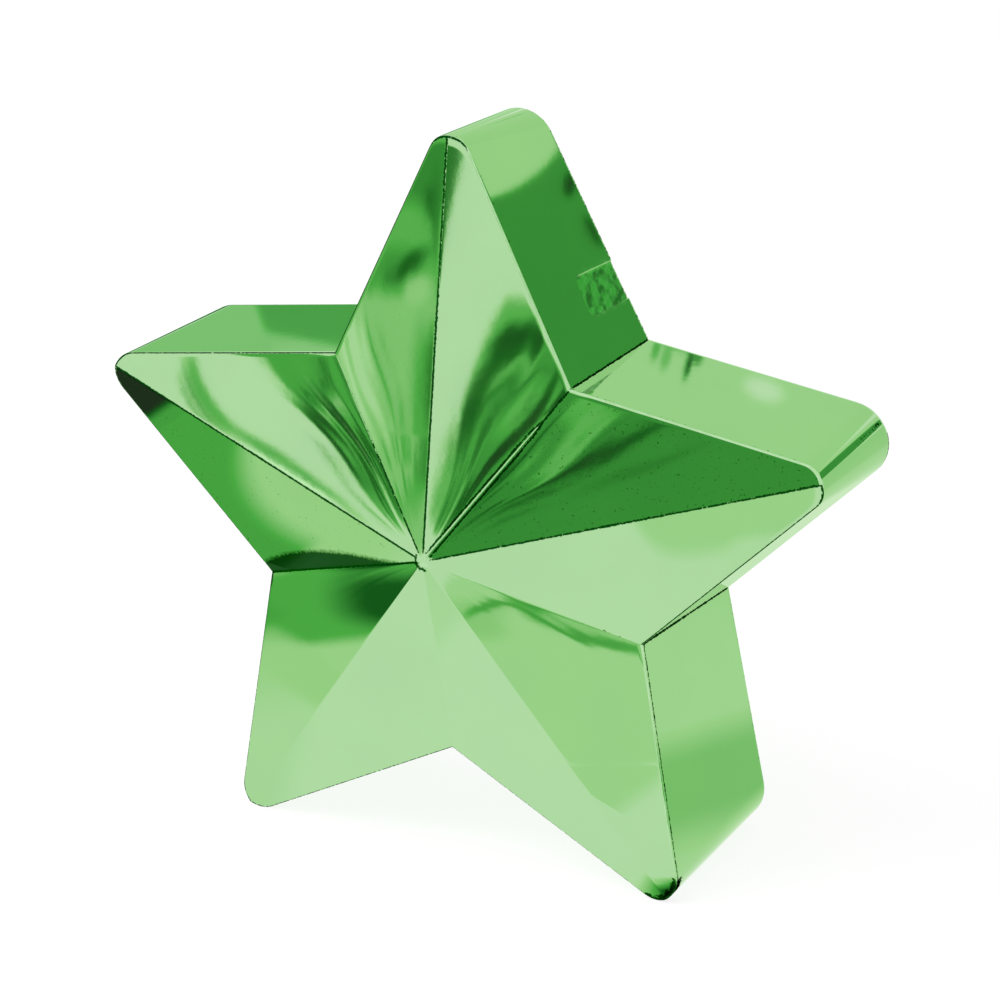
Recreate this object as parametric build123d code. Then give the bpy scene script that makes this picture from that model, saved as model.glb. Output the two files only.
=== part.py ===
"""Star-shaped balloon weight: a faceted plated shell, a cast ballast block, a back cover and its glue dots.

The star stands on its two lower points. Lengths are in millimetres and angles in degrees. While it is drawn,
the star's middle lies at x = 0, z = 0, the front rim in the plane y = 0, and depth grows along +Y.
"""

import math
import os

from build123d import *

# Star outline: distances from the middle to the sharp corners, where the back rim crosses the middle
point_count = 5
point_radius = 63.0
inner_radius = 31.5
front_tip_radius = 3.2

# Side walls, the tilted back rim and the faceted front
wall_depth = 24.8
draft_angle = 2.5
back_lean_angle = 4.7
peak_height = 8.0
hub_flat_height = 0.13
front_edge_round = 0.4

# Moulded wall and the rebate that takes the back cover
wall_thickness = 1.6
face_thickness = 1.6
rim_lip_width = 0.8
least_tip_radius = 0.5

# Ribbon notch: a shallow recess in the right wall of the top point, open at the back rim
notch_from_corner = 6.4
notch_width = 5.9
notch_length = 10.5
notch_corner_radius = 1.2
notch_recess = 0.4

# Back cover and the hole through which the ribbon is tied
cover_thickness = 1.6
cover_clearance = 0.15
ribbon_hole_length = 6.5
ribbon_hole_width = 3.5
ribbon_hole_inset = 7.5

# Cast ballast, poured to a level below the cover
cast_clearance = 0.1
fill_gap = 2.5

# Hot-melt glue dots between the ballast and the cover
glue_dot_radius = 4.5
glue_dot_bulge = 0.7
glue_circle_radius = 40.0

# Every cutter runs this far past what it cuts
overrun = 2.0

# Angles and distances of the star, worked out from its two radii
corner_step = math.pi / point_count
half_point_angle = math.atan2(
    inner_radius * math.sin(corner_step), point_radius - inner_radius * math.cos(corner_step)
)
edge_distance = point_radius * math.sin(half_point_angle)
draft_slope = math.tan(math.radians(draft_angle))
lean_slope = math.tan(math.radians(back_lean_angle))


def point_radius_at(depth, inset):
    """Sharp point radius at a depth behind the front rim, with every edge moved in by the inset."""
    return (edge_distance - (wall_depth - depth) * draft_slope - inset) / math.sin(half_point_angle)


# The tips widen towards the back so fast that the two lower ones run level: the star stands on them
front_point_radius = point_radius_at(0, 0)
foot_share = math.cos(corner_step)
tip_growth_share = foot_share / (foot_share / math.sin(half_point_angle) - 1)


def tip_radius_at(depth, inset):
    """Radius of the rounded points at a depth behind the front rim, with the walls moved in by the inset."""
    growth = point_radius_at(depth, 0) - front_point_radius
    return max(front_tip_radius + tip_growth_share * growth - inset, least_tip_radius)


front_tip_centre = front_point_radius - front_tip_radius / math.sin(half_point_angle)
foot_drop = foot_share * front_tip_centre + front_tip_radius
deepest = wall_depth + lean_slope * foot_drop
peak_front = peak_height - hub_flat_height
facet_angle = math.atan2(peak_height, front_point_radius * math.sin(half_point_angle))


def upright_plane(depth):
    """Plane at a depth behind the front rim, drawn as seen from the front: x to the right, y up."""
    return Plane(origin=(0, depth, 0), x_dir=(1, 0, 0), z_dir=(0, -1, 0))


def star_corners(radius):
    """Corners of a sharp star, from the top point round, points and inner corners in turn."""
    corners = []
    for step in range(2 * point_count):
        angle = math.pi / 2 + step * corner_step
        reach = radius if step % 2 == 0 else radius * inner_radius / point_radius
        corners.append((reach * math.cos(angle), reach * math.sin(angle)))
    return corners


def star_face(depth, inset):
    """Star with rounded points, at a depth behind the front rim."""
    sharp = make_face(Polyline(*star_corners(point_radius_at(depth, inset)), close=True))
    tips = sharp.vertices().sort_by_distance((0, 0, 0))[-point_count:]
    return upright_plane(depth) * fillet(tips, radius=tip_radius_at(depth, inset))


def star_prism(inset):
    """Drafted star from the hub's flat to behind the back rim, with its walls moved in by the inset."""
    return loft([star_face(-peak_front, inset), star_face(deepest + overrun, inset)], ruled=True)


def facet_cone(setback):
    """Star-shaped cone whose ten flat sides are the facets' planes, moved back by the setback."""
    apex_depth = setback - peak_height
    base_depth = deepest + 2 * overrun
    base_radius = front_point_radius * (base_depth - apex_depth) / peak_height
    base = upright_plane(base_depth) * make_face(Polyline(*star_corners(base_radius), close=True))
    return loft([Vertex(0, apex_depth, 0), base], ruled=True)


def lean_plane(distance):
    """Plane parallel to the back rim, a distance in front of it, with its normal pointing back."""
    lean = math.radians(back_lean_angle)
    normal = Vector(0, math.cos(lean), math.sin(lean))
    origin = Vector(0, wall_depth, 0) - normal * distance
    return Plane(origin=origin, x_dir=(1, 0, 0), z_dir=normal)


def in_front(solid, distance):
    """The part of a solid in front of the plane that lies a distance before the back rim."""
    return split(solid, bisect_by=lean_plane(distance), keep=Keep.BOTTOM)


def behind(solid, distance):
    """The part of a solid behind the plane that lies a distance before the back rim."""
    return split(solid, bisect_by=lean_plane(distance), keep=Keep.TOP)


def notch_wall_plane():
    """Plane on the top point's right wall: x up the edge from the inner corner, y forwards, z outwards."""
    tip = Vector(0, 0, point_radius)
    corner = Vector(inner_radius * math.sin(corner_step), 0, inner_radius * math.cos(corner_step))
    along = (tip - corner).normalized()
    outward = Vector(along.Z, 0, -along.X)
    return Plane(origin=corner + Vector(0, wall_depth, 0), x_dir=along, z_dir=outward)


def notch_centre():
    """The notch's middle along the edge, and how far the leaning back rim lies forward there."""
    along = notch_from_corner + notch_width / 2
    height = notch_wall_plane().from_local_coords((along, 0, 0)).Z
    return along, lean_slope * height


def ribbon_notch():
    """Cutter for the notch: a slot open past the back rim, kept to the recess under the drafted wall."""
    along, rim_shift = notch_centre()
    closed_end = rim_shift + notch_length
    open_end = rim_shift - 2 * overrun
    length = closed_end - open_end
    slot = Pos(along, (closed_end + open_end) / 2) * Rectangle(notch_width, length)
    slot = fillet(slot.vertices().group_by(Axis.Y)[-1], radius=notch_corner_radius)
    reach = wall_thickness + draft_slope * notch_length + overrun
    return extrude(notch_wall_plane() * slot, amount=reach, both=True) - star_prism(notch_recess)


def is_front_rim(edge):
    """Whether an edge lies where the facets meet the walls: near the front, and no end at the hub."""
    ends = edge.vertices()
    near_front = all(end.Y < wall_depth / 2 for end in ends)
    clear_of_hub = all(math.hypot(end.X, end.Z) > inner_radius / 2 for end in ends)
    return near_front and clear_of_hub


def front_shell():
    """Moulded shell: the faceted star, hollowed, cut at the back rim, rebated for the cover and notched."""
    outer = star_prism(0) & facet_cone(0)
    outer = fillet(outer.edges().filter_by(is_front_rim), radius=front_edge_round)
    cavity = star_prism(wall_thickness) & facet_cone(face_thickness / math.cos(facet_angle))
    rebate = behind(star_prism(rim_lip_width), cover_thickness)
    return in_front(outer, 0) - cavity - rebate - ribbon_notch()


def ballast():
    """Block cast in the shell, poured with the back rim level."""
    block = star_prism(wall_thickness + cast_clearance) & facet_cone(face_thickness / math.cos(facet_angle))
    return in_front(block, cover_thickness + fill_gap)


def back_cover():
    """Flat star that lies in the rebate, flush with the back rim, with an oblong hole for the ribbon."""
    plate = in_front(behind(star_prism(rim_lip_width + cover_clearance), cover_thickness), 0)
    along, rim_shift = notch_centre()
    oblong = Rot(90, 0, 0) * SlotOverall(ribbon_hole_length, ribbon_hole_width)
    hole = notch_wall_plane() * Pos(along, rim_shift, -ribbon_hole_inset) * oblong
    return plate - extrude(hole, amount=cover_thickness + overrun, both=True)


def glue_dots():
    """Blobs squeezed between the ballast and the cover, one in each point of the star."""
    low_edge = (glue_dot_radius, 0)
    high_edge = (glue_dot_radius, fill_gap)
    belly = (glue_dot_radius + glue_dot_bulge, fill_gap / 2)
    side = ThreePointArc(low_edge, belly, high_edge)
    half_outline = Polyline(low_edge, (0, 0), (0, fill_gap), high_edge) + side
    dot = revolve(Plane.XZ * make_face(half_outline), axis=Axis.Z)
    places = PolarLocations(glue_circle_radius, point_count, start_angle=-90)
    return lean_plane(cover_thickness + fill_gap) * Compound([place * dot for place in places])


# The finished part stands on z = 0, with the middle of its box over the origin
stand = Pos(0, (peak_front - deepest) / 2, foot_drop)
os.makedirs("parts", exist_ok=True)
for name, piece in {
    "front_shell": front_shell(),
    "ballast": ballast(),
    "back_cover": back_cover(),
    "glue_dots": glue_dots(),
}.items():
    export_step(stand * piece, f"parts/{name}.step")
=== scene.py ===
"""Star-shaped balloon weight: a mirror-plated shell round cast plaster, closed by a glued back cover.

Lengths are in metres. The star stands on its two lower points, with its faceted front towards -Y.
"""

import math

import bmesh
import bpy
import numpy as np
from mathutils import Matrix, Vector


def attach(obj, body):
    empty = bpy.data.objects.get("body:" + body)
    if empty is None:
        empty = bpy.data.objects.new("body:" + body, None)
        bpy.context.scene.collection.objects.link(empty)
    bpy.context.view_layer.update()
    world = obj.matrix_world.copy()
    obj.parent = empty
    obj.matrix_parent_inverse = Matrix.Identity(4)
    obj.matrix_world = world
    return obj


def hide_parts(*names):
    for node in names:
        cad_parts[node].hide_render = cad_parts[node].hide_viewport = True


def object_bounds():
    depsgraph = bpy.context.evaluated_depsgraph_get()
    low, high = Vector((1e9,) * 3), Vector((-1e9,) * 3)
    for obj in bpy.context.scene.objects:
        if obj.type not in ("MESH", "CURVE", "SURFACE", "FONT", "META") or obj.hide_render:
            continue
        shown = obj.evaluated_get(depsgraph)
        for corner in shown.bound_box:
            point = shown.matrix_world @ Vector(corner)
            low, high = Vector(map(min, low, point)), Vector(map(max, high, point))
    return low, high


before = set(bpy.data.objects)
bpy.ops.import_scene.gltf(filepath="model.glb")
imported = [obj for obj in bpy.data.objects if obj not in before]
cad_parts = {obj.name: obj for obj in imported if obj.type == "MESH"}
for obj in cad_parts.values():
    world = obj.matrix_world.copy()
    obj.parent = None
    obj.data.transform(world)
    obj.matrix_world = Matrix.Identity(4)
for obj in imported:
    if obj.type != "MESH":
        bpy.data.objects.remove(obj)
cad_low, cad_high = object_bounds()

# Front shell: the moulded plastic star, plated with a thin metal film under clear green lacquer.
# Ten facets rise to a blunt hub, and drafted walls run back to a leaning rim with a rebate for the cover.
# The top point's right wall has the ribbon notch. It is one closed skin, laid out as rings round the star.
point_count = 5
point_radius = 0.063
inner_radius = 0.0315
front_tip_radius = 0.0032
least_tip_radius = 0.0005
wall_depth = 0.0248
draft_slope = math.tan(math.radians(2.5))
lean_angle = math.radians(4.7)
lean_slope = math.tan(lean_angle)
peak_height = 0.008
hub_flat_height = 0.00013
wall_thickness = 0.0016
rim_lip_width = 0.0008
cover_thickness = 0.0016
notch_from_corner = 0.0064
notch_width = 0.0059
notch_length = 0.0105
notch_corner_radius = 0.0012
notch_recess = 0.0002
front_edge_run = 0.0002
back_edge_run = 0.0002

corner_step = math.pi / point_count
half_point = math.atan2(
    inner_radius * math.sin(corner_step), point_radius - inner_radius * math.cos(corner_step)
)
edge_distance = point_radius * math.sin(half_point)
tip_turn = math.pi / 2 - half_point


def point_radius_at(depth, inset):
    """Sharp point radius: the edge's distance less draft and inset, over the sine of half the point."""
    return (edge_distance - (wall_depth - depth) * draft_slope - inset) / math.sin(half_point)


front_point_radius = point_radius_at(0, 0)
front_edge_distance = front_point_radius * math.sin(half_point)
foot_share = math.cos(corner_step)
tip_growth_share = foot_share / (foot_share / math.sin(half_point) - 1)
front_tip_centre = front_point_radius - front_tip_radius / math.sin(half_point)
middle_height = cad_low.z + foot_share * front_tip_centre + front_tip_radius
front_rim_y = cad_low.y + peak_height - hub_flat_height


def tip_radius_at(depth, inset):
    """Radius of the rounded points: it grows with the star's radius towards the back, and loses the inset."""
    growth = point_radius_at(depth, 0) - front_point_radius
    return np.maximum(front_tip_radius + tip_growth_share * growth - inset, least_tip_radius)


# The notch's middle lies this high above the star's middle, where the leaning rim has come forward
notch_along = notch_from_corner + notch_width / 2
notch_rise = inner_radius * math.cos(corner_step) + notch_along * math.cos(half_point)
notch_depth = wall_depth - lean_slope * notch_rise - notch_length
notch_middle_depth = notch_depth + notch_length / 2

# Columns round the star: from each inner corner along a side, round the point and back to the next corner
tip_columns = 11
tip_crowding = 1.5
side_columns = (20, 20, 16)
corner_crowding = 1.8
side_run = point_radius_at(notch_middle_depth, 0) * inner_radius / point_radius
side_run *= math.sin(corner_step) / math.sin(half_point)
side_run -= float(tip_radius_at(notch_middle_depth, 0)) / math.tan(half_point)
notch_far_share = 1 - (notch_from_corner + notch_width) / side_run
notch_near_share = 1 - notch_from_corner / side_run
tip_part = np.linspace(0, 1, tip_columns + 1)[1:] ** tip_crowding
far_part = np.linspace(0, notch_far_share, side_columns[0] + 1)[1:]
notch_side_step = 0.035
across = np.linspace(notch_side_step, 1 - notch_side_step, side_columns[1] - 1)
across = np.concatenate([[0], across, [1]])
notch_part = (notch_far_share + (notch_near_share - notch_far_share) * across)[1:]
crowded = 1 - (1 - np.linspace(0, 1, side_columns[2] + 1)) ** corner_crowding
near_part = (notch_near_share + (1 - notch_near_share) * crowded)[1:]
half_turn = np.concatenate([tip_part, np.ones(sum(side_columns))]) * tip_turn
half_share = np.concatenate([np.zeros(tip_columns), far_part, notch_part, near_part])
point_turn = np.concatenate([-half_turn[::-1], [0], half_turn[:-1]])
point_share = np.concatenate([half_share[::-1], [0], half_share[:-1]])
columns_per_point = len(point_turn)
column_count = point_count * columns_per_point
turn = np.tile(point_turn, point_count)
share = np.tile(point_share, point_count)
side_sign = np.where(turn < 0, -1.0, 1.0)
point_angle = np.repeat(math.pi / 2 + 2 * corner_step * np.arange(point_count), columns_per_point)


def outline(depth, inset):
    """Star outline at a depth behind the front rim: a tip arc plus a share of the run to the corner."""
    radius = point_radius_at(depth, inset)
    tip = tip_radius_at(depth, inset)
    corner = radius * inner_radius / point_radius
    tip_centre = radius - tip / math.sin(half_point)
    along_run = corner * math.cos(corner_step) - tip_centre - tip * math.sin(half_point)
    across_run = corner * math.sin(corner_step) - tip * math.cos(half_point)
    along = tip_centre + tip * np.cos(turn) + share * along_run
    beside = tip * np.sin(turn) + share * side_sign * across_run
    x = along * np.cos(point_angle) - beside * np.sin(point_angle)
    z = along * np.sin(point_angle) + beside * np.cos(point_angle)
    return x, z


def star_angle(x, z):
    """Polar angle measured from the nearest point of the star, and that point's number from the top round."""
    angle = np.arctan2(z, x) - math.pi / 2
    number = np.round(angle / (2 * corner_step))
    return angle - number * 2 * corner_step, number.astype(int) % point_count


# Half widths of the rounded creases: each ridge alike, each valley its own, from the top point's left round
ridge_half_width = 0.00003
valley_half_widths = np.array([0.00003, 0.00020, 0.00006, 0.00006, 0.00008])
valley_length = 0.0296
valley_lens_ends = (0.1, 0.94)


def facet_share(x, z, softness=1.0):
    """Height share of the facets: 0 at the hub and 1 on the sharp front outline, with rounded creases."""
    reach = np.maximum(np.hypot(x, z), 1e-9)
    angle, number = star_angle(x, z)
    lens = np.sin(math.pi * np.clip(reach / valley_length, *valley_lens_ends))
    valley = valley_half_widths[np.where(angle > 0, number, number - 1)] * lens
    fold = np.sqrt(angle ** 2 + (softness * ridge_half_width / reach) ** 2)
    fold = corner_step - np.sqrt((corner_step - fold) ** 2 + (softness * valley / reach) ** 2)
    flat = reach * np.cos(tip_turn - fold) / front_edge_distance
    return np.sqrt(flat ** 2 + (softness * hub_flat_height / peak_height) ** 2)


def meets_facets(inset, setback):
    """Depth at which each wall line meets the facets: both are linear in depth, so one division solves it."""
    trial_depth = 0.001
    share_here = facet_share(*outline(0.0, inset), softness=0.0)
    share_gain = (facet_share(*outline(trial_depth, inset), softness=0.0) - share_here) / trial_depth
    return (peak_height * (share_here - 1) + setback) / (1 - peak_height * share_gain)


def meets_lean(inset, distance):
    """Depth at which each wall line meets a plane parallel to the back rim, a distance in front of it."""
    trial_depth = 0.001
    z_here = outline(0.0, inset)[1]
    z_gain = (outline(trial_depth, inset)[1] - z_here) / trial_depth
    return (wall_depth - distance / math.cos(lean_angle) - lean_slope * z_here) / (1 + lean_slope * z_gain)


def ring_at(depth, inset):
    """One ring of the skin: the outline at a depth that may differ from column to column."""
    x, z = outline(depth, inset)
    return np.stack([x, front_rim_y + depth + 0 * x, middle_height + z], axis=-1)


# Facet ripples: the moulding cools unevenly, so fine waves run out from the hub and the facets sink a little.
# Heights go round from the top point's right facet: right, left of the top point, then of the next point
ripple_heights = np.array([5, 5, 8, 3, 3, 2, 2, 3, 2, 5]) * 1e-6
sink_depths = np.array([8, 8, 8, 8, 8, 6, 6, 8, 8, 8]) * 1e-6
ripple_count = 2.4
ripple_crowding = 1.3
ripple_drift = 40
ripple_reach = 0.030
facet_shift = 1.7
wander_height = 0.6
wander_rate = 260
fine_height = 0.35
fine_rate = 2.3


def facet_ripple(x, z):
    """Waves across each facet that run out from the hub, higher towards the valley, over a shallow sink."""
    reach = np.hypot(x, z)
    angle, number = star_angle(x, z)
    facet = 2 * number + (angle > 0)
    to_valley = np.abs(angle) / corner_step
    wander = wander_height * np.sin(wander_rate * reach + 3 * number + 5 * to_valley)
    phase = 2 * math.pi * ripple_count * to_valley ** ripple_crowding
    phase = phase + ripple_drift * reach + facet_shift * facet
    window = to_valley ** 1.5 * (1 - to_valley ** 8) * np.minimum(reach / ripple_reach, 1.2)
    waves = np.sin(phase + wander) + fine_height * np.sin(fine_rate * phase + 4 * wander)
    sink = 4 * to_valley * (1 - to_valley) * np.minimum(reach / ripple_reach, 1.0)
    return ripple_heights[facet] * window * waves + sink_depths[facet] * sink


front_rows = 64
edge_rows = 6
back_edge_rows = 3
wall_rows = (8, 28)
inner_rows = 5
rim_depth = meets_facets(0.0, 0.0)
rim = ring_at(rim_depth, 0.0)
facet_end_share = 1 - front_edge_run / front_edge_distance
hub_share = 0.004
hub_end_share = 0.045
hub_rows = 8
hub_part = np.linspace(hub_share, hub_end_share, hub_rows, endpoint=False)
facet_part = np.linspace(hub_end_share, facet_end_share, front_rows - hub_rows)
reach_shares = np.concatenate([hub_part, facet_part])[:, None]
front_x = reach_shares * rim[:, 0]
front_z = reach_shares * (rim[:, 2] - middle_height)
front_y = front_rim_y - peak_height * (1 - facet_share(front_x, front_z)) + facet_ripple(front_x, front_z)
front_rings = np.stack([front_x, front_y, front_z + middle_height], axis=-1)


def rounded(start, corner, end, rows):
    """Rings of a rounded edge: a quadratic curve from start to end, tangent to both faces."""
    step = (np.arange(1, rows) / rows)[:, None, None]
    return (1 - step) ** 2 * start + 2 * step * (1 - step) * corner + step ** 2 * end


def between(start, end, rows):
    """Rings at equal steps from just after start up to end."""
    step = (np.arange(1, rows + 1) / rows)[:, None, None]
    return start + step * (end - start)


# The notch is a shallow recess between these columns, from its rounded closed end to the back rim
notch_columns = slice(side_columns[2], side_columns[2] + side_columns[1] + 1)
to_side = np.minimum(across, 1 - across) * notch_width
corner_gap = np.maximum(notch_corner_radius - to_side, 0)
corner_drop = notch_corner_radius - np.sqrt(notch_corner_radius ** 2 - corner_gap ** 2)
split_depth = np.full(column_count, notch_depth + notch_corner_radius)
split_depth[notch_columns] = notch_depth + corner_drop
recess = np.zeros(column_count)
recess[notch_columns.start + 1:notch_columns.stop - 1] = notch_recess
end_step = 0.0002
line_width = 0.0003

wall_start = ring_at(rim_depth + front_edge_run, 0.0)
wall_line = ring_at(rim_depth + front_edge_run + line_width, 0.0)
wall_line_end = ring_at(rim_depth + front_edge_run + 2 * line_width, 0.0)
wall_split = ring_at(split_depth, 0.0)
recess_start = ring_at(split_depth + end_step, recess)
wall_end = ring_at(meets_lean(recess, 0.0) - back_edge_run, recess)
back_corner = ring_at(meets_lean(recess, 0.0), recess)
lip_start = ring_at(meets_lean(recess + back_edge_run, 0.0), recess + back_edge_run)
lip_end = ring_at(meets_lean(rim_lip_width, 0.0), rim_lip_width)
rebate_floor = ring_at(meets_lean(rim_lip_width, cover_thickness), rim_lip_width)
ledge_end = ring_at(meets_lean(wall_thickness, cover_thickness), wall_thickness)
facet_setback = wall_thickness / math.cos(math.atan2(peak_height, front_edge_distance))
inner_rim = ring_at(meets_facets(wall_thickness, facet_setback), wall_thickness)
inner_shares = np.linspace(1, hub_share, inner_rows + 1)[1:, None]
inner_x = inner_shares * inner_rim[:, 0]
inner_z = inner_shares * (inner_rim[:, 2] - middle_height)
inner_y = front_rim_y - peak_height * (1 - facet_share(inner_x, inner_z)) + facet_setback
rear_wall = between(recess_start, wall_end, wall_rows[1])
rings = np.concatenate([
    front_rings,
    rounded(front_rings[-1], rim, wall_start, edge_rows),
    np.stack([wall_start, wall_line, wall_line_end]),
    between(wall_line_end, wall_split, wall_rows[0]),
    recess_start[None],
    rear_wall,
    rounded(wall_end, back_corner, lip_start, back_edge_rows),
    np.stack([lip_start, lip_end, rebate_floor, ledge_end, inner_rim]),
    np.stack([inner_x, inner_y, inner_z + middle_height], axis=-1),
])
wall_start_row = front_rows + edge_rows - 1
recess_row = wall_start_row + 3 + wall_rows[0]
back_edge_row = recess_row + wall_rows[1]

# The notch's floor is rough: crossing waves of about a millimetre lift and sink it across the recess
rough_height = 0.00003
rough_waves = ((5200, 2100, 0.3), (-3100, 6100, 1.9), (7900, 4300, 4.0), (2700, -8300, 2.6))
outward = np.stack([np.cos(point_angle + turn), np.zeros(column_count), np.sin(point_angle + turn)], axis=-1)
floor_columns = slice(notch_columns.start + 2, notch_columns.stop - 2)
floor_rows = slice(recess_row + 2, back_edge_row)
notch_floor = rings[floor_rows, floor_columns]
along_wall = notch_floor[..., 0] * math.sin(half_point) - notch_floor[..., 2] * math.cos(half_point)
rough_sum = sum(np.sin(a * along_wall + b * notch_floor[..., 1] + c) for a, b, c in rough_waves)
rings[floor_rows, floor_columns] += rough_height * rough_sum[..., None] * outward[floor_columns]

points = np.concatenate([rings.reshape(-1, 3), rings[[0, -1]].mean(axis=1)])
here = np.arange(len(rings) * column_count).reshape(len(rings), column_count)
next_column = np.roll(here, -1, axis=1)
quads = np.stack([here[:-1], next_column[:-1], next_column[1:], here[1:]], axis=-1)
hub_fans = [
    np.stack([here[row], next_column[row], np.full(column_count, len(points) - 2 + number)], axis=-1)
    for number, row in enumerate((0, -1))
]
faces = quads.reshape(-1, 4).tolist() + np.concatenate(hub_fans).tolist()

# Painted dark reflections and shade: thin, ragged dark green lines along ridges, valleys, inner corners and
# rims, in a streak down the right tip and over the lower right tip, with ragged specks on three facets. A
# line lies beside the top right valley and a painted dark band over the lower left one. Painted highlights
# lie on the hub, the notch's sides and the rims without a line. Five strengths go round from the top ridge or
# the top left valley, ten from the top point's right side, then its left and so on
crease_width = 0.00017
left_point = 1
lower_left_valley = 1
lower_right_point = 3
right_upper_side = 9
ridge_inner_lines = np.array([1.0, 1.0, 0.0, 0.0, 0.8])
ridge_outer_lines = np.array([0.85, 1.0, 0.0, 0.0, 0.8])
valley_inner_lines = np.array([0.8, 1.0, 0.0, 0.1, 0.9])
valley_outer_lines = np.array([0.3, 1.0, 0.0, 0.25, 0.9])
speck_lines = np.array([0.0, 0.12, 0.0, 0.16, 0.0, 0.0, 0.0, 0.0, 0.0, 0.19])
line_ramp_start = 0.45
line_ramp_length = 0.25
valley_offsets = np.array([0.0, 0.0, 0.0, 0.0, 0.00036])
offset_end = 0.86
offset_ramp = 0.1
dark_band_width = 0.0034
dark_band_softness = 0.0014
dark_band_stretch = 0.776
dark_band_lean = 1.3
hub_highlight_radius = 0.0009
hub_ring_radius = 0.0012
hub_ring_width = 0.00035
hub_gap_angle = math.radians(40)
hub_gap_width = 0.4
hub_line_start = 0.5
rim_lines = np.array([0.3, 0.0, 0.0, 0.0, 0.0, 0.0, 0.0, 0.75, 0.0, 0.3])
corner_line = 1.0
rim_rags = np.array([0.0, 0.65, 0.75, 0.6, 0.6, 0.6, 0.6, 0.0, 0.75, 0.0])
rear_lines = np.array([0.45, 0.0, 0.0, 0.0, 0.0, 0.0, 0.0, 0.3, 0.85, 0.0])
top_tip_rag = 0.75
low_tip_rag = 0.9
low_tip_spread = 0.9
right_streak_turn = 0.30
right_streak_spread = 0.06
right_streak_front = 0.3
right_streak_gain = 0.5

# Painted dark lines on the facets: each point's way from the hub, and its distance from the ridge and the
# valley
front_reach = np.hypot(front_x, front_z)
front_angle, front_number = star_angle(front_x, front_z)
front_valley = np.where(front_angle > 0, front_number, front_number - 1) % point_count
to_ridge = front_reach * np.sin(np.abs(front_angle))
to_valley = front_reach * np.sin(corner_step - np.abs(front_angle))


def along_crease(inner, outer, way):
    """Line strength from the hub to the rim: inner before the ramp, outer after it, linear between."""
    return inner + (outer - inner) * np.clip((way - line_ramp_start) / line_ramp_length, 0, 1)


along_ridge = front_reach / front_point_radius
ridge_lines = along_crease(ridge_inner_lines[front_number], ridge_outer_lines[front_number], along_ridge)
ridge_crease = ridge_lines * np.exp(-(to_ridge / crease_width) ** 4)
along_valley = front_reach / valley_length
valley_lines = along_crease(valley_inner_lines[front_valley], valley_outer_lines[front_valley], along_valley)
valley_aside = valley_offsets[front_valley] * np.clip((offset_end - along_valley) / offset_ramp, 0, 1)
beside_valley = (to_valley - valley_aside) / crease_width
valley_crease = valley_lines * np.exp(-beside_valley ** 4)
specks = speck_lines[2 * front_number + (front_angle > 0)]
dark_band_lens = dark_band_width * np.sin(math.pi * (dark_band_stretch * along_valley) ** dark_band_lean)
hub_turn = np.arctan2(front_z, front_x)
hub_arc = np.clip(hub_gap_width - np.cos(hub_turn - hub_gap_angle), 0, 1)
hub_crease = hub_arc * np.exp(-((front_reach - hub_ring_radius) / hub_ring_width) ** 2)
crease = np.zeros(rings.shape[:2])
crease[:front_rows] = np.max([ridge_crease, valley_crease, hub_crease], axis=0)
past_hub = np.clip(front_reach / hub_ring_radius - hub_line_start, 0, 1)
crease[:front_rows] *= np.maximum(past_hub, hub_crease)
crease[:front_rows] = np.maximum(crease[:front_rows], specks)

# Painted dark lines and shade on the walls, the rims and the tips
side_number = 2 * np.repeat(np.arange(point_count), columns_per_point) + (turn > 0)
on_top_tip = (side_number < 2) & (np.abs(turn) < tip_turn)
rim_rag = np.where(on_top_tip, top_tip_rag, rim_rags[side_number])
right_streak = np.exp(-((turn - right_streak_turn) / right_streak_spread) ** 2)
right_streak = np.where(side_number == right_upper_side, right_streak, 0)
wall_depths = rings[wall_start_row:back_edge_row, :, 1]
depth_share = (wall_depths - wall_depths.min()) / (wall_depths.max() - wall_depths.min())
to_corner = (1 - share) * side_run / crease_width
corner_crease = corner_line * np.exp(-to_corner ** 4)
tip_crease = (right_streak_front + right_streak_gain * depth_share) * right_streak
crease[wall_start_row:back_edge_row] = np.maximum(corner_crease, tip_crease)
crease[back_edge_row:back_edge_row + back_edge_rows] = rear_lines[side_number]
crease[wall_start_row + 1] = rim_lines[side_number]
crease[front_rows:wall_start_row - 1] = rim_rag
on_low_tip = (side_number // 2 == lower_right_point) & (np.abs(turn) < low_tip_spread * tip_turn)
crease[front_rows - 1:wall_start_row + 3, on_low_tip] = low_tip_rag

# Painted highlights on edges and hub, the painted dark band and the notch's pitted floor
edge = np.zeros(rings.shape[:2])
edge[:front_rows] = np.exp(-(front_reach / hub_highlight_radius) ** 4)
edge[front_rows:wall_start_row] = np.where(rim_rag > 0, 0, 1)
edge[back_edge_row:back_edge_row + back_edge_rows] = np.where(rear_lines[side_number] > 0, 0, 1)
edge[recess_row:back_edge_row, [notch_columns.start, notch_columns.stop - 1]] = 1.0
dark_band_share = np.zeros(rings.shape[:2])
dark_band_share[:front_rows] = np.clip((dark_band_lens - to_valley) / dark_band_softness, 0, 1)
dark_band_share[:front_rows] *= (front_valley == lower_left_valley) & (front_number == left_point)
pitted = np.zeros(rings.shape[:2])
pitted[recess_row:back_edge_row, notch_columns.start + 1:notch_columns.stop - 1] = 1.0
on_points = {
    name: np.append(values.ravel(), [0.0, 0.0])
    for name, values in {"crease": crease, "edge": edge, "dark_band_share": dark_band_share, "pitted": pitted}.items()
}


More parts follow.
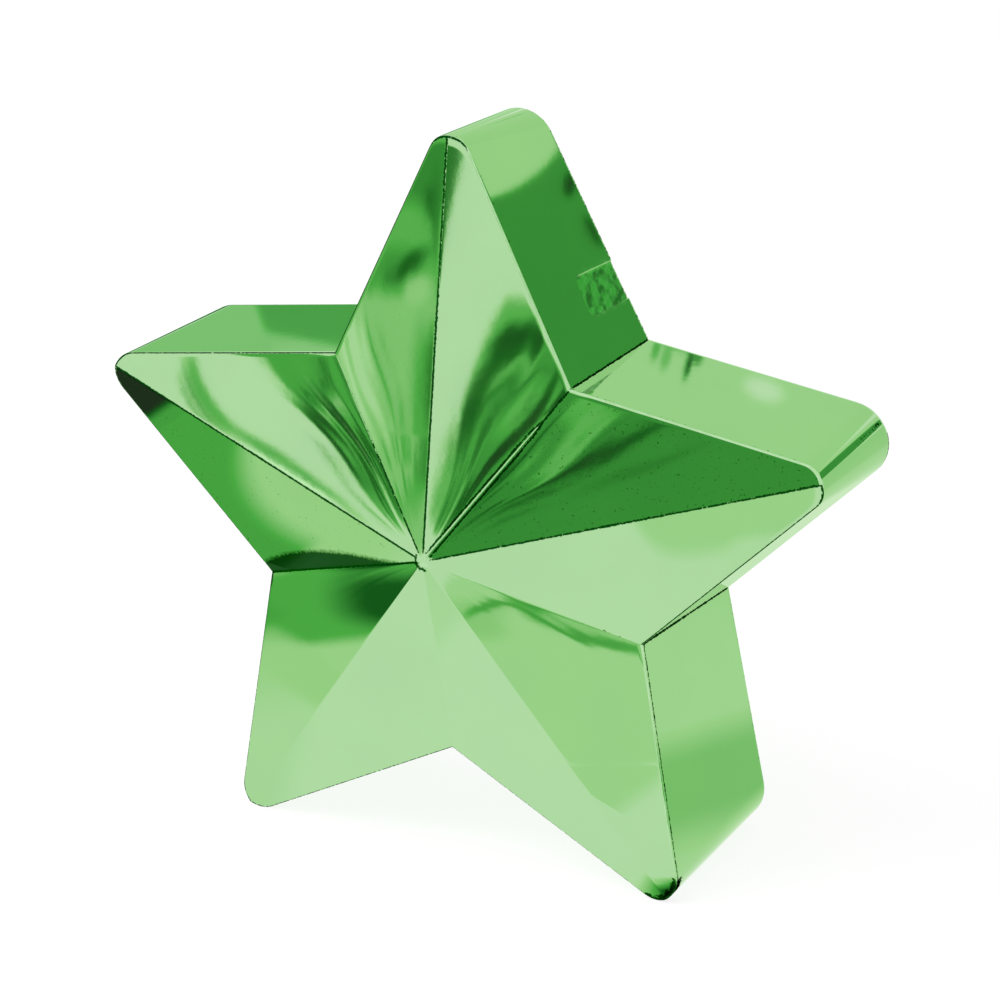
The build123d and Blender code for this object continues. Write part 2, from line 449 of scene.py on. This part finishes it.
def make_piece(name, points, faces, crease_angle, attributes):
    """Mesh object from points and faces: faces turned outwards, smooth below the crease angle."""
    mesh = bpy.data.meshes.new(name)
    mesh.from_pydata(points.tolist(), [], faces)
    work = bmesh.new()
    work.from_mesh(mesh)
    bmesh.ops.recalc_face_normals(work, faces=work.faces)
    work.to_mesh(mesh)
    work.free()
    mesh.shade_smooth()
    mesh.set_sharp_from_angle(angle=crease_angle)
    for attribute_name, values in attributes.items():
        attribute = mesh.attributes.new(attribute_name, "FLOAT", "POINT")
        attribute.data.foreach_set("value", values.astype(np.float32))
    piece = bpy.data.objects.new(name, mesh)
    bpy.context.scene.collection.objects.link(piece)
    return piece


sharp_angle = math.radians(35)
shell = make_piece("star_shell", points, faces, sharp_angle, on_points)


def add_node(tree, kind, inputs, **settings):
    """New shader node: plain settings first, then each input gets its value or a link from another socket."""
    node = tree.nodes.new("ShaderNode" + kind)
    for name, value in settings.items():
        setattr(node, name, value)
    for name, value in inputs.items():
        if isinstance(value, bpy.types.NodeSocket):
            tree.links.new(value, node.inputs[name])
        else:
            node.inputs[name].default_value = value
    return node


def new_material(name):
    """A new node material: its node tree, its shader and the Object coordinates that its patterns read."""
    material = bpy.data.materials.new(name)
    material.use_nodes = True
    tree = material.node_tree
    coordinates = add_node(tree, "TexCoord", {}).outputs["Object"]
    return material, tree, tree.nodes["Principled BSDF"], coordinates


def noise(tree, coordinates, scale, detail):
    """Noise between 0 and 1 on Object coordinates, with scale in cells per metre."""
    inputs = {"Vector": coordinates, "Scale": scale, "Detail": detail}
    return add_node(tree, "TexNoise", inputs).outputs["Fac"]


def spread(tree, value, low, high, to_low, to_high):
    """Value from low..high stretched to to_low..to_high, and held at the ends."""
    ends = {"Value": value, "From Min": low, "From Max": high, "To Min": to_low, "To Max": to_high}
    return add_node(tree, "MapRange", ends).outputs["Result"]


def blend_colour(tree, factor, first, second):
    """Mix of two colours, each a value or a socket."""
    node = tree.nodes.new("ShaderNodeMix")
    node.data_type = "RGBA"
    tree.links.new(factor, node.inputs["Factor"])
    for socket, colour in ((node.inputs[6], first), (node.inputs[7], second)):
        if isinstance(colour, bpy.types.NodeSocket):
            tree.links.new(colour, socket)
        else:
            socket.default_value = colour
    return node.outputs[2]


def attribute_value(tree, name):
    """Value of a number kept on the mesh's points."""
    return add_node(tree, "Attribute", {}, attribute_name=name).outputs["Fac"]


def combine(tree, operation, first, second):
    """Two values, each a number or a socket, put through one Math operation."""
    return add_node(tree, "Math", {0: first, 1: second}, operation=operation).outputs[0]


lacquer_green = (0.17, 0.58, 0.075, 1)
thick_green = (0.155, 0.555, 0.068, 1)
# The next two colours are painted light: dark green for painted dark lines and shade, pale green for painted
# highlights
painted_dark_green = (0.004, 0.075, 0.008, 1)
highlight_green = (0.34, 0.72, 0.26, 1)
floor_green = (0.065, 0.46, 0.06, 1)
pit_green = (0.016, 0.19, 0.018, 1)
white = (1, 1, 1, 1)
cloud_scale = 70
pit_scale = 620
rag_scale = 2600
rub_scale = 900
haze_scale = 160
peel_scale = 650
shallow_share = 0.4
highlight_and_floor_roughness = 0.25
peel_height = 7e-7
plated, tree, shader, coordinates = new_material("green_mirror_plating")
cloudy = spread(tree, noise(tree, coordinates, cloud_scale, 3), 0.35, 0.65, 0, 1)
colour = blend_colour(tree, cloudy, lacquer_green, thick_green)
on_floor = attribute_value(tree, "pitted")
pits = spread(tree, noise(tree, coordinates, pit_scale, 2), 0.46, 0.68, 0, 1)
colour = blend_colour(tree, on_floor, colour, blend_colour(tree, pits, floor_green, pit_green))
# Painted dark lines and band in dark green, broken by ragged noise; further down they also tint the metal's
# reflection and take away the coat
ragged = spread(tree, noise(tree, coordinates, rag_scale, 3), 0.30, 0.70, 0.10, 0.75)
over = combine(tree, "SUBTRACT", attribute_value(tree, "crease"), ragged)
lined = spread(tree, over, 0, 0.15, 0, 1)
shallow = combine(tree, "MULTIPLY", ragged, shallow_share)
deep = combine(tree, "SUBTRACT", attribute_value(tree, "dark_band_share"), shallow)
dark_band = spread(tree, deep, 0, 0.5, 0, 1)
painted_dark = combine(tree, "MAXIMUM", lined, dark_band)
colour = blend_colour(tree, painted_dark, colour, painted_dark_green)
# Painted highlights: pale green on the marked edges and hub, broken by noise; these places and the notch
# floor are also rougher
highlight_rags = spread(tree, noise(tree, coordinates, rub_scale, 4), 0.4, 0.6, 0.1, 0.6)
painted_highlight = combine(tree, "MULTIPLY", attribute_value(tree, "edge"), highlight_rags)
colour = blend_colour(tree, painted_highlight, colour, highlight_green)
tree.links.new(colour, shader.inputs["Base Color"])
tree.links.new(blend_colour(tree, lined, white, painted_dark_green), shader.inputs["Specular Tint"])
haze = spread(tree, noise(tree, coordinates, haze_scale, 5), 0.3, 0.7, 0.025, 0.045)
highlight_and_floor = combine(tree, "MAXIMUM", painted_highlight, on_floor)
dull = combine(tree, "ADD", combine(tree, "MULTIPLY", highlight_and_floor, highlight_and_floor_roughness), haze)
tree.links.new(dull, shader.inputs["Roughness"])
bare = combine(tree, "MAXIMUM", painted_dark, on_floor)
tree.links.new(spread(tree, bare, 0, 0.8, 1, 0), shader.inputs["Coat Weight"])
orange_peel = noise(tree, coordinates, peel_scale, 2)
peel_bump = {"Height": orange_peel, "Strength": 1.0, "Distance": peel_height}
skin = add_node(tree, "Bump", peel_bump).outputs["Normal"]
tree.links.new(skin, shader.inputs["Normal"])
tree.links.new(skin, shader.inputs["Coat Normal"])
shader.inputs["Metallic"].default_value = 1.0
shader.inputs["Coat Roughness"].default_value = 0.03
shader.inputs["Coat IOR"].default_value = 3.5
shell.data.materials.append(plated)
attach(shell, "root")
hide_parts("front_shell")

# Ballast: plaster poured into the shell and levelled just below the cover, where it sets hard.
# It is hidden in use: a pale, chalky block with small pores.
plaster_pale = (0.74, 0.75, 0.70, 1)
plaster_grey = (0.60, 0.61, 0.56, 1)
plaster, tree, shader, coordinates = new_material("cast_plaster")
cloudy = spread(tree, noise(tree, coordinates, 220, 6), 0.3, 0.7, 0, 1)
tree.links.new(blend_colour(tree, cloudy, plaster_pale, plaster_grey), shader.inputs["Base Color"])
tree.links.new(spread(tree, cloudy, 0, 1, 0.75, 0.9), shader.inputs["Roughness"])
pores = noise(tree, coordinates, 900, 4)
skin = add_node(tree, "Bump", {"Height": pores, "Strength": 0.7, "Distance": 0.0004}).outputs["Normal"]
tree.links.new(skin, shader.inputs["Normal"])


def finish_node(node, material):
    """Gives a carried-over piece its own material in place of the plain one."""
    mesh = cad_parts[node].data
    mesh.materials.clear()
    mesh.materials.append(material)


finish_node("ballast", plaster)

# Glue dots: hot-melt adhesive, pressed flat between the ballast and the cover while still soft.
# They are hidden in use, waxy and a little cloudy.
glue_clear = (0.86, 0.83, 0.72, 1)
glue_cloudy = (0.74, 0.69, 0.55, 1)
hot_melt, tree, shader, coordinates = new_material("hot_melt_glue")
cloudy = spread(tree, noise(tree, coordinates, 400, 3), 0.35, 0.65, 0, 1)
tree.links.new(blend_colour(tree, cloudy, glue_clear, glue_cloudy), shader.inputs["Base Color"])
tree.links.new(spread(tree, cloudy, 0, 1, 0.35, 0.55), shader.inputs["Roughness"])
skin = add_node(tree, "Bump", {"Height": cloudy, "Strength": 0.6, "Distance": 0.0002}).outputs["Normal"]
tree.links.new(skin, shader.inputs["Normal"])
finish_node("glue_dots", hot_melt)

# Back cover: a flat moulded star, plated like the shell but with a satin, finely grained face.
# It drops into the rebate and is held by the glue dots, and has an oblong hole for the ribbon.
cover_green = (0.13, 0.50, 0.08, 1)
cover_shade = (0.10, 0.42, 0.06, 1)
satin, tree, shader, coordinates = new_material("green_satin_plating")
cloudy = spread(tree, noise(tree, coordinates, 90, 4), 0.3, 0.7, 0, 1)
tree.links.new(blend_colour(tree, cloudy, cover_green, cover_shade), shader.inputs["Base Color"])
grain = noise(tree, coordinates, 2600, 3)
tree.links.new(spread(tree, grain, 0.3, 0.7, 0.26, 0.36), shader.inputs["Roughness"])
skin = add_node(tree, "Bump", {"Height": grain, "Strength": 0.5, "Distance": 0.00001}).outputs["Normal"]
tree.links.new(skin, shader.inputs["Normal"])
shader.inputs["Metallic"].default_value = 1.0
shader.inputs["Coat Weight"].default_value = 0.5
shader.inputs["Coat Roughness"].default_value = 0.12
finish_node("back_cover", satin)

# Camera: a long lens in front of the star, to its right and above it.
# It looks at the middle of the back rim, which lies a little aside of the picture's centre and above it.
view_azimuth = math.radians(27.8832)
view_elevation = math.radians(19.8748)
view_distance = 7.1383 * point_radius
view_aside = 0.0789 * point_radius
view_above = 0.0254 * point_radius
to_right = np.array([math.cos(view_azimuth), math.sin(view_azimuth), 0.0])
to_front = np.array([
    -math.sin(view_azimuth) * math.cos(view_elevation),
    math.cos(view_azimuth) * math.cos(view_elevation),
    -math.sin(view_elevation),
])
to_top = np.cross(to_right, to_front)
back_middle = np.array([0.0, front_rim_y + wall_depth, middle_height])
stand_point = back_middle - view_aside * to_right - view_above * to_top - view_distance * to_front
camera = bpy.data.objects.new("camera", bpy.data.cameras.new("camera"))
camera.data.sensor_width = 36
camera.data.lens = 113.93
camera.data.clip_start = 0.01
rotation = Matrix(np.stack([to_right, to_top, -to_front], axis=1).tolist()).to_4x4()
camera.matrix_world = Matrix.Translation(stand_point.tolist()) @ rotation
scene = bpy.context.scene
scene.collection.objects.link(camera)
scene.camera = camera

# Studio: a white room round a pale floor, with one soft lamp above the left front.
# The camera and mirrored rays see plain white; the rest is a lower, even light.
scene.view_settings.view_transform = "Standard"


def bright_rays(tree):
    """1 for rays from the camera or off glossy and clear surfaces, and 0 for light that falls on things."""
    path = add_node(tree, "LightPath", {}).outputs
    direct_or_glossy = combine(tree, "MAXIMUM", path["Is Camera Ray"], path["Is Glossy Ray"])
    return combine(tree, "MAXIMUM", direct_or_glossy, path["Is Transmission Ray"])


world = bpy.data.worlds.new("studio")
scene.world = world
world.use_nodes = True
tree = world.node_tree
tree.nodes.clear()
seen = add_node(tree, "Background", {"Color": white, "Strength": 1.0}).outputs[0]
felt = add_node(tree, "Background", {"Color": white, "Strength": 0.6}).outputs[0]
mixed = add_node(tree, "MixShader", {0: bright_rays(tree), 1: felt, 2: seen}).outputs[0]
add_node(tree, "OutputWorld", {"Surface": mixed})

floor_half = 3.0
floor_grey = (0.86, 0.86, 0.86, 1)
floor_glow = 1.16
glow_share = 0.72
floor_corners = [
    (-floor_half, -floor_half, 0), (floor_half, -floor_half, 0),
    (floor_half, floor_half, 0), (-floor_half, floor_half, 0),
]
floor_mesh = bpy.data.meshes.new("floor")
floor_mesh.from_pydata(floor_corners, [], [(0, 1, 2, 3)])
floor = bpy.data.objects.new("floor", floor_mesh)
scene.collection.objects.link(floor)
floor_paint = bpy.data.materials.new("pale_floor")
floor_paint.use_nodes = True
tree = floor_paint.node_tree
tree.nodes.clear()
lit = add_node(tree, "BsdfDiffuse", {"Color": floor_grey}).outputs[0]
glow = add_node(tree, "Emission", {"Strength": floor_glow}).outputs[0]
glowing = combine(tree, "MULTIPLY", bright_rays(tree), glow_share)
mixed = add_node(tree, "MixShader", {0: glowing, 1: lit, 2: glow}).outputs[0]
add_node(tree, "OutputMaterial", {"Surface": mixed})
floor_mesh.materials.append(floor_paint)

lamp = bpy.data.objects.new("key_lamp", bpy.data.lights.new("key_lamp", "AREA"))
lamp.data.size = 0.8
lamp.data.energy = 6
lamp.location = (-0.5, -0.5, 0.9)
lamp_target = Vector((0, 0, 0.04))
lamp.rotation_euler = (lamp_target - lamp.location).to_track_quat("-Z", "Y").to_euler()
lamp.visible_glossy = False
scene.collection.objects.link(lamp)

# Mirror cards: glowing sheets, no lamps, that paint the plating's reflections: a white round wall and floor
# sheet with soft green and black cards. Only mirrored rays see them. A row gives a card's middle (degrees and
# metres on the wall, else metres), its half sizes, lean in degrees, bend, corner power, softness and
# brightness.
wall_radius = 0.45
wall_height = 0.42
wall_cards = [
    # seen in the top point's right facet
    (0.49, 0.0900, 0.0100, 0.0200, 10, 0, 8, 0.08, 0.24),
    (5.10, 0.0281, 0.0220, 0.0360, 15.5, 0, 8, 0.06, 0.60),
    (5.45, 0.0225, 0.0220, 0.0345, 15.5, 0, 8, 0.06, 0.42),
    (3.16, 0.0419, 0.0026, 0.0240, 26, 10, 3, 0.6, 0.14),
    (4.15, 0.0560, 0.0030, 0.0070, 55, 0, 2, 0.6, 0.10),
    (3.90, 0.0471, 0.0011, 0.0115, 40, 27, 3, 0.6, 0.62),
    (3.71, 0.0423, 0.0007, 0.0138, 43, 33, 3, 0.6, 0.20),
    (4.50, 0.0375, 0.0035, 0.0095, 40, 0, 2, 0.5, 0.60),
    (4.20, 0.0268, 0.0021, 0.0260, 35.6, 0, 4, 0.5, 0.04),
    (2.35, 0.0170, 0.0008, 0.0120, 18, 0, 3, 0.6, 0.28),
    (2.75, 0.0220, 0.0006, 0.0120, 22, 0, 3, 0.6, 0.58),
    (2.15, 0.0290, 0.0008, 0.0050, 20, 0, 2, 0.5, 0.85),
    # seen in the valley between the top and the right point
    (-5.0, 0.1000, 0.0200, 0.0300, 0, 0, 2, 0.5, 2.0),
    # seen in the right point's upper facet
    (-16, 0.1400, 0.0800, 0.0520, 0, 0, 8, 0.10, 0.36),
    (-17.6, 0.1640, 0.0045, 0.0070, 36, 0, 2, 0.5, 0.58),
    (-17.95, 0.1520, 0.0018, 0.0180, 30, 0, 2, 0.6, 0.64),
    (-19.65, 0.1428, 0.0012, 0.0220, 31.4, 0, 4, 0.5, 0.12),
    (-17.30, 0.1480, 0.0017, 0.0280, 48, 0, 2, 0.7, 0.05),
    (-17.3, 0.1530, 0.0007, 0.0150, 40, 0, 2, 0.6, 0.25),
    (-15.4, 0.1520, 0.0011, 0.0170, 55, 0, 2, 0.7, 0.26),
    # seen in the top point's left facet
    (-57, 0.0450, 0.0450, 0.0700, 0, 0, 8, 0.15, 0.60),
    (-57, 0.0175, 0.0200, 0.0215, 0, 0, 4, 0.25, 0.76),
    (-58.0, 0.0160, 0.0030, 0.0190, -24, 0, 3, 0.5, 0.95),
    (-56.7, 0.0740, 0.0200, 0.0110, 8, 0, 4, 0.35, 0.34),
    (-57.3, 0.0440, 0.0060, 0.0060, 37, 0, 2, 0.6, 0.42),
    (-56.90, 0.0460, 0.0023, 0.0060, 38, 0, 2, 0.6, 0.12),
    (-56.42, 0.0625, 0.0018, 0.0055, -20, 0, 2, 0.5, 0.16),
    (-56.45, 0.0395, 0.0034, 0.0045, 20, 0, 2, 0.5, 0.82),
    (-56.27, 0.0610, 0.0010, 0.0120, -9, 0, 3, 0.5, 0.25),
    (-56.95, 0.0155, 0.0011, 0.0155, -24.3, 0, 3, 0.5, 0.50),
    (-55.65, 0.0100, 0.0030, 0.0200, -10, 0, 2, 0.5, 0.55),
    (-55.5, 0.0165, 0.0016, 0.0140, -7, 0, 2, 0.5, 0.22),
    # seen in the left point's upper facet
    (-39.79, 0.1297, 0.0016, 0.0128, -48, 17, 4, 0.4, 0.55),
    (-36.08, 0.1183, 0.0014, 0.0205, -71.1, -2.9, 3, 0.4, 0.54),
    (-39.99, 0.1279, 0.0004, 0.0110, -48, 17, 3, 0.5, 0.15),
    (-40.15, 0.1265, 0.0003, 0.0080, -48, 17, 3, 0.5, 0.15),
    (-36.00, 0.1157, 0.0009, 0.0147, -74.6, 0, 2, 0.5, 1.40),
    (-35.47, 0.1424, 0.0120, 0.0420, -52.3, 0, 6, 0.10, 0.50),
    (-35.10, 0.1282, 0.0028, 0.0145, -49.5, 0, 2, 0.5, 0.08),
    (-33.75, 0.1266, 0.0014, 0.0170, -39.2, 0, 3, 0.5, 0.10),
    (-34.60, 0.1300, 0.0008, 0.0100, -45, 0, 2, 0.5, 0.60),
    (-36.40, 0.1443, 0.0005, 0.0062, -22.6, 0, 3, 0.5, 0.06),
    (-36.10, 0.1445, 0.0005, 0.0062, -22.6, 0, 3, 0.5, 0.06),
    (-35.75, 0.1440, 0.0004, 0.0070, -22.6, 0, 3, 0.5, 0.06),
    (-35.60, 0.1365, 0.0004, 0.0030, -40, 0, 2, 0.5, 1.00),
    (-35.35, 0.1372, 0.0003, 0.0030, -40, 0, 2, 0.5, 1.00),
    # seen in the walls and the round of the top and right points
    (-152, 0.1200, 0.0300, 0.1400, 0, 0, 8, 0.1, 0.80),
    (146.5, 0.0550, 0.0500, 0.0600, 0, 0, 8, 0.1, 0.80),
    (165, 0.3400, 0.1300, 0.0900, 0, 0, 8, 0.1, 0.85),
    (-165, 0.3400, 0.1300, 0.0900, 0, 0, 8, 0.1, 0.85),
    (146.5, 0.2450, 0.0800, 0.0600, 0, 0, 8, 0.1, 0.87),
    (147.0, 0.1600, 0.0440, 0.0500, 90, -16, 8, 0.03, 0.36),
    (147.2, 0.1956, 0.0016, 0.0034, 49, 0, 2, 0.6, 0.02),
    (146.63, 0.1815, 0.0013, 0.0045, 16, 0, 2, 0.6, 0.04),
    (-167.9, 0.3115, 0.0060, 0.0035, 0, 0, 2, 0.5, 0.98),
    (-164.4, 0.3065, 0.0050, 0.0015, 0, 0, 3, 0.5, 0.60),
    (-163.6, 0.3095, 0.0012, 0.0040, 0, 0, 2, 0.5, 0.55),
    (-164.05, 0.3110, 0.0014, 0.0045, 0, 0, 2, 0.5, 0.62),
    (-164.93, 0.3105, 0.0009, 0.0055, 0, 0, 2, 0.5, 0.10),
    (-165.2, 0.3080, 0.0014, 0.0025, 0, 0, 2, 0.5, 0.30),
    (-139, 0.1500, 0.0700, 0.0300, 0, 0, 8, 0.1, 0.66),
    (-139.5, 0.1700, 0.0600, 0.0090, 0, 0, 8, 0.3, 0.70),
    (-142.26, 0.1441, 0.0400, 0.0200, 30.4, 0, 8, 0.06, 0.43),
    (-136.5, 0.1500, 0.0267, 0.0300, 0, 0, 8, 0.06, 0.66),
    # seen from other sides
    (60, 0.1000, 0.0500, 0.0700, 0, 0, 4, 0.3, 0.42),
    (95, 0.0500, 0.0500, 0.0450, 0, 0, 4, 0.4, 0.50),
    (112, 0.2500, 0.0600, 0.0400, 10, 0, 4, 0.3, 0.45),
    (35, 0.1900, 0.0500, 0.0500, -15, 0, 4, 0.4, 0.50),
    (-88, 0.1500, 0.0600, 0.0500, 15, 0, 4, 0.4, 0.45),
    (-75, 0.0450, 0.1000, 0.0600, 0, 0, 8, 0.1, 0.22),
    (-104, 0.0500, 0.1400, 0.0700, 0, 0, 8, 0.1, 0.22),
    (-136, 0.0400, 0.1100, 0.0600, 0, 0, 8, 0.1, 0.22),
    (178, 0.1400, 0.0700, 0.0600, 0, 0, 4, 0.4, 0.40),
]
floor_cards = [
    # seen in the left point's lower facet and the lower left point's upper facet
    (-0.0555, -0.0260, 0.0270, 0.0300, 0, 0, 8, 0.12, 0.95),
    (-0.1100, -0.0520, 0.0350, 0.0400, 0, 0, 8, 0.4, 0.89),
    (-0.1135, -0.0660, 0.0185, 0.0300, 0, 0, 8, 0.2, 0.55),
    (-0.1200, -0.0430, 0.0115, 0.0100, 0, 0, 4, 0.4, 0.47),
    (-0.0800, -0.0440, 0.0225, 0.0060, 0, 0, 4, 0.4, 0.88),
    (-0.1410, -0.0460, 0.0138, 0.0120, 0, 0, 4, 0.15, 0.0),
    (-0.1104, -0.0786, 0.0128, 0.0145, 64, 0, 3, 0.4, 0.13),
    # seen in the top point's left facet
    (-0.300, -0.205, 0.0500, 0.1100, 55, 0, 4, 0.3, 0.74),
    (-0.332, -0.2335, 0.0030, 0.0900, 55.5, 0, 4, 0.5, 0.58),
    (-0.336, -0.2164, 0.0035, 0.0550, 56, 0, 4, 0.5, 0.90),
    (-0.352, -0.2380, 0.0015, 0.0300, 59.7, 0, 4, 0.5, 0.55),
    (-0.340, -0.2375, 0.0016, 0.0450, 58.3, 0, 4, 0.5, 0.32),
    # seen in the right point's lower facet and the lower right point's right facet
    (0.0322, -0.1200, 0.0160, 0.0545, 7, 0, 5, 0.05, 0.90),
    (0.0440, -0.0615, 0.0060, 0.0070, 0, 0, 4, 0.25, 0.98),
    (0.0380, -0.1402, 0.0055, 0.0250, 32, 6.4, 4, 0.3, 0.80),
    (0.0175, -0.1450, 0.0050, 0.0110, 0, 0, 4, 0.5, 0.80),
    (0.0328, -0.1370, 0.0017, 0.0220, 32, 10, 4, 0.5, 0.45),
    (0.0220, -0.1533, 0.0022, 0.0066, -80.5, 110, 3, 0.5, 0.45),
    # seen in the walls
    (0.1600, 0.2600, 0.0600, 0.1500, 33, 0, 8, 0.2, 0.80),
    (-0.1750, 0.3030, 0.0600, 0.0500, 0, 0, 4, 0.3, 0.40),
    (0.0850, 0.0750, 0.0600, 0.0900, 49, 0, 8, 0.2, 0.90),
    (0.0600, 0.0420, 0.0300, 0.0255, 38, 0, 4, 0.5, 0.71),
    (0.0060, 0.1000, 0.0500, 0.0120, 90, 0, 4, 0.3, 0.80),
    (0.0600, 0.1550, 0.0450, 0.0700, 40, 0, 4, 0.3, 0.84),
    # seen in the lower right tip
    (0.0370, -0.0140, 0.0070, 0.0040, 20, 0, 2, 0.5, 0.05),
    # seen from other sides
    (0.1200, -0.0200, 0.0300, 0.0500, 30, 0, 4, 0.4, 0.50),
    (-0.0500, 0.1400, 0.0400, 0.0300, 60, 0, 4, 0.4, 0.45),
    (-0.1250, 0.0250, 0.0250, 0.0500, 5, 0, 4, 0.2, 0.22),
]


def smooth_step(low, high, value):
    """0 below low, 1 above high and the cubic 3t^2 - 2t^3 between."""
    t = np.clip((value - low) / (high - low), 0, 1)
    return t * t * (3 - 2 * t)


def card_levels(across, up, cards):
    """White, drawn to each card's brightness where its leaning, bent box (|u|^p + |v|^p)^(1/p) is under 1."""
    level = np.ones_like(across)
    for middle_across, middle_up, half_across, half_up, lean, bend, power, softness, brightness in cards:
        reach = 2 * math.hypot(half_across, half_up) + abs(bend) * half_up ** 2
        near = (np.abs(across - middle_across) < reach) & (np.abs(up - middle_up) < reach)
        aside, along = across[near] - middle_across, up[near] - middle_up
        cosine, sine = math.cos(math.radians(lean)), math.sin(math.radians(lean))
        v = aside * sine + along * cosine
        u = aside * cosine - along * sine - bend * v ** 2
        edge_share = (np.abs(u / half_across) ** power + np.abs(v / half_up) ** power) ** (1 / power)
        cover = 1 - smooth_step(1 - softness, 1 + softness, edge_share)
        level[near] += cover * (brightness - level[near])
    return level


# Painted reflections: brightness 1 is white, above 1 it glows as a painted glint, and the darker cards are
# green down to black
card_paint = bpy.data.materials.new("card_paint")
card_paint.use_nodes = True
card_paint.cycles.emission_sampling = "NONE"
tree = card_paint.node_tree
tree.nodes.clear()
brightness = attribute_value(tree, "level")
ramp = add_node(tree, "ValToRGB", {"Fac": brightness})
ramp_stops = [
    (0.0, (0.03, 0.04, 0.03, 1)), (0.134, (0.015, 0.134, 0.025, 1)), (0.35, (0.083, 0.35, 0.09, 1)),
    (0.565, (0.163, 0.565, 0.15, 1)), (0.88, (0.69, 0.88, 0.60, 1)), (1.0, white),
]
while len(ramp.color_ramp.elements) < len(ramp_stops):
    ramp.color_ramp.elements.new(0.5)
for element, (position, colour) in zip(ramp.color_ramp.elements, ramp_stops):
    element.position = position
    element.color = colour
glint = combine(tree, "MAXIMUM", brightness, 1.0)
shine = add_node(tree, "Emission", {"Color": ramp.outputs["Color"], "Strength": glint}).outputs[0]
add_node(tree, "OutputMaterial", {"Surface": shine})


def mirror_sheet(name, points, levels):
    """Stage sheet on a grid of points, seen by mirrored rays only, with its brightness on the points."""
    rows, columns = levels.shape
    numbers = np.arange(rows * columns).reshape(rows, columns)
    corners = np.stack([numbers[:-1, :-1], numbers[:-1, 1:], numbers[1:, 1:], numbers[1:, :-1]], axis=-1)
    mesh = bpy.data.meshes.new(name)
    mesh.vertices.add(rows * columns)
    mesh.vertices.foreach_set("co", points.ravel())
    mesh.loops.add(corners.size)
    mesh.loops.foreach_set("vertex_index", corners.ravel())
    mesh.polygons.add(corners.size // 4)
    mesh.polygons.foreach_set("loop_start", np.arange(0, corners.size, 4))
    mesh.update(calc_edges=True)
    attribute = mesh.attributes.new("level", "FLOAT", "POINT")
    attribute.data.foreach_set("value", levels.ravel().astype(np.float32))
    mesh.materials.append(card_paint)
    sheet = bpy.data.objects.new(name, mesh)
    sheet.visible_camera = False
    sheet.visible_diffuse = False
    sheet.visible_shadow = False
    sheet.visible_transmission = False
    scene.collection.objects.link(sheet)


def graded(knots, counts):
    """Values from the first knot to the last, each stretch between knots cut into its own count of steps."""
    stretches = zip(knots[:-1], knots[1:], counts)
    parts = [np.linspace(start, end, count, endpoint=False) for start, end, count in stretches]
    return np.append(np.concatenate(parts), knots[-1])


# The sheets' points lie close together where the facets and walls mirror them towards the camera
azimuth_knots = (-180, -173, -160, -143.5, -133, -60, -54, -44, -31, -24, -9, 0, 8, 142, 150, 180)
azimuth_counts = (7, 130, 17, 105, 73, 100, 10, 217, 7, 214, 9, 133, 134, 100, 30)
height_knots = (0, 0.17, 0.22, 0.30, 0.33, wall_height)
height_counts = (212, 50, 20, 38, 18)
azimuths = np.radians(graded(azimuth_knots, azimuth_counts))
azimuth, height = np.meshgrid(azimuths, graded(height_knots, height_counts))
wall_points = np.stack([wall_radius * np.sin(azimuth), -wall_radius * np.cos(azimuth), height], axis=-1)
arc_cards = [(math.radians(row[0]) * wall_radius, *row[1:]) for row in wall_cards]
mirror_sheet("mirror_wall", wall_points, card_levels(azimuth * wall_radius, height, arc_cards))

sheet_lift = 0.0004
floor_x_knots = (-wall_radius, -0.37, -0.21, -0.145, 0.06, 0.12, wall_radius)
floor_x_counts = (10, 160, 22, 270, 40, 60)
floor_y_knots = (-wall_radius, -0.26, -0.18, -0.02, 0.14, wall_radius)
floor_y_counts = (32, 80, 200, 64, 52)
floor_x, floor_y = np.meshgrid(graded(floor_x_knots, floor_x_counts), graded(floor_y_knots, floor_y_counts))
sheet_points = np.stack([floor_x, floor_y, 0 * floor_x + sheet_lift], axis=-1)
mirror_sheet("mirror_floor", sheet_points, card_levels(floor_x, floor_y, floor_cards))

# Two small plates of painted reflection hang low, where only one facet each mirrors them, and one more sheet
# hangs above
level_steps = 41
left_plate_x = (-0.0700, -0.0243)
left_plate_y = (-0.028, -0.008)
left_plate_height = 0.0383
right_plate_x = (0.0187, 0.038)
right_plate_y = (-0.0335, -0.0125)
right_plate_height = 0.012
right_plate_shear = 0.436
ceiling_x = (-0.44, -0.16)
ceiling_y = (-0.19, 0.03)
left_plate_cards = [
    (-0.0500, -0.0200, 0.0500, 0.0300, 0, 0, 8, 0.05, 0.88),
    (-0.0504, 0.0004, 0.0200, 0.0320, 70.2, 14.9, 8, 0.15, 0.50),
    (-0.0238, -0.0150, 0.0024, 0.0200, 0, 0, 8, 0.6, 0.88),
]
right_plate_cards = [
    (0.0197, -0.0259, 0.0120, 0.0200, -30.9, 0, 8, 0.22, 0.90),
]
ceiling_cards = [
    (-0.3000, -0.0800, 0.0900, 0.0700, 0, 0, 8, 0.2, 0.10),
]


def level_sheet(name, x_ends, y_ends, height, shear, cards):
    """Mirror sheet on an even grid at one height, with its cards painted on and its sides sheared."""
    x, y = np.meshgrid(np.linspace(*x_ends, level_steps), np.linspace(*y_ends, level_steps))
    x = x + shear * (y - y_ends[0])
    mirror_sheet(name, np.stack([x, y, 0 * x + height], axis=-1), card_levels(x, y, cards))


level_sheet("mirror_plate_left", left_plate_x, left_plate_y, left_plate_height, 0, left_plate_cards)
level_sheet(
    "mirror_plate_right", right_plate_x, right_plate_y, right_plate_height, right_plate_shear,
    right_plate_cards,
)
level_sheet("mirror_ceiling", ceiling_x, ceiling_y, wall_height, 0, ceiling_cards)
